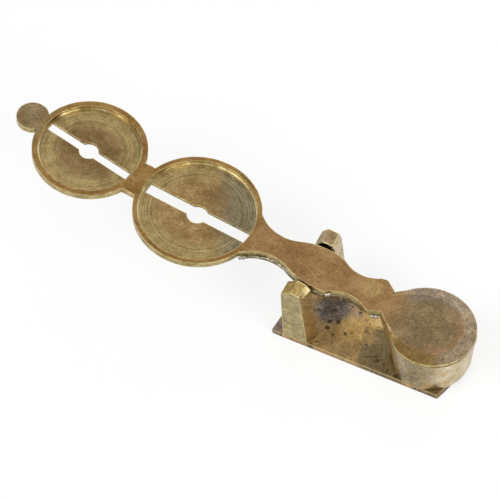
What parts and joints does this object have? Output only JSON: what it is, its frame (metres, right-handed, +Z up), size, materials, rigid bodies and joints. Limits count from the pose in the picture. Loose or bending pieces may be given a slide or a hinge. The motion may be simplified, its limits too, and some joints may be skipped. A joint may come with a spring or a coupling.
{
  "type": "pocket coin rocker balance",
  "caption": "Pocket coin balance: a brass beam with round slotted coin pans and a teardrop counterweight rocks on a knife edge between posts on a small base plate.",
  "frame": {"origin": "middle of the base plate's straight sides, on the plate's underside", "axes": "+X along the beam towards the counterweight, +Y towards the rear post, +Z up"},
  "size_m": [0.0966, 0.0244, 0.0264],
  "materials": {
    "plate_brass": "worn, with grey stains",
    "post_brass": "filed and hammered, aged",
    "bush_steel": "dull",
    "beam_brass": "aged brown gold, worn bright on the edges",
    "strap_brass": "smeared with solder",
    "knife_steel": "ground",
    "weight_brass": "aged, paler than the beam"
  },
  "bodies": {
    "stand": {"base_plate": "plate_brass", "front_post": "post_brass", "rear_post": "post_brass", "front_bush": "bush_steel", "rear_bush": "bush_steel"},
    "beam": {"beam_plate": "beam_brass", "waist_strap": "strap_brass", "knife_edge": "knife_steel", "counterweight": "weight_brass"}
  },
  "joints": [
    {"name": "beam_rock", "type": "hinge", "parent": "stand", "child": "beam", "pos_m": [-0.01213, 0, 0.01195], "axis": [0, -1, 0], "range_deg": [0, 22.2]}
  ]
}
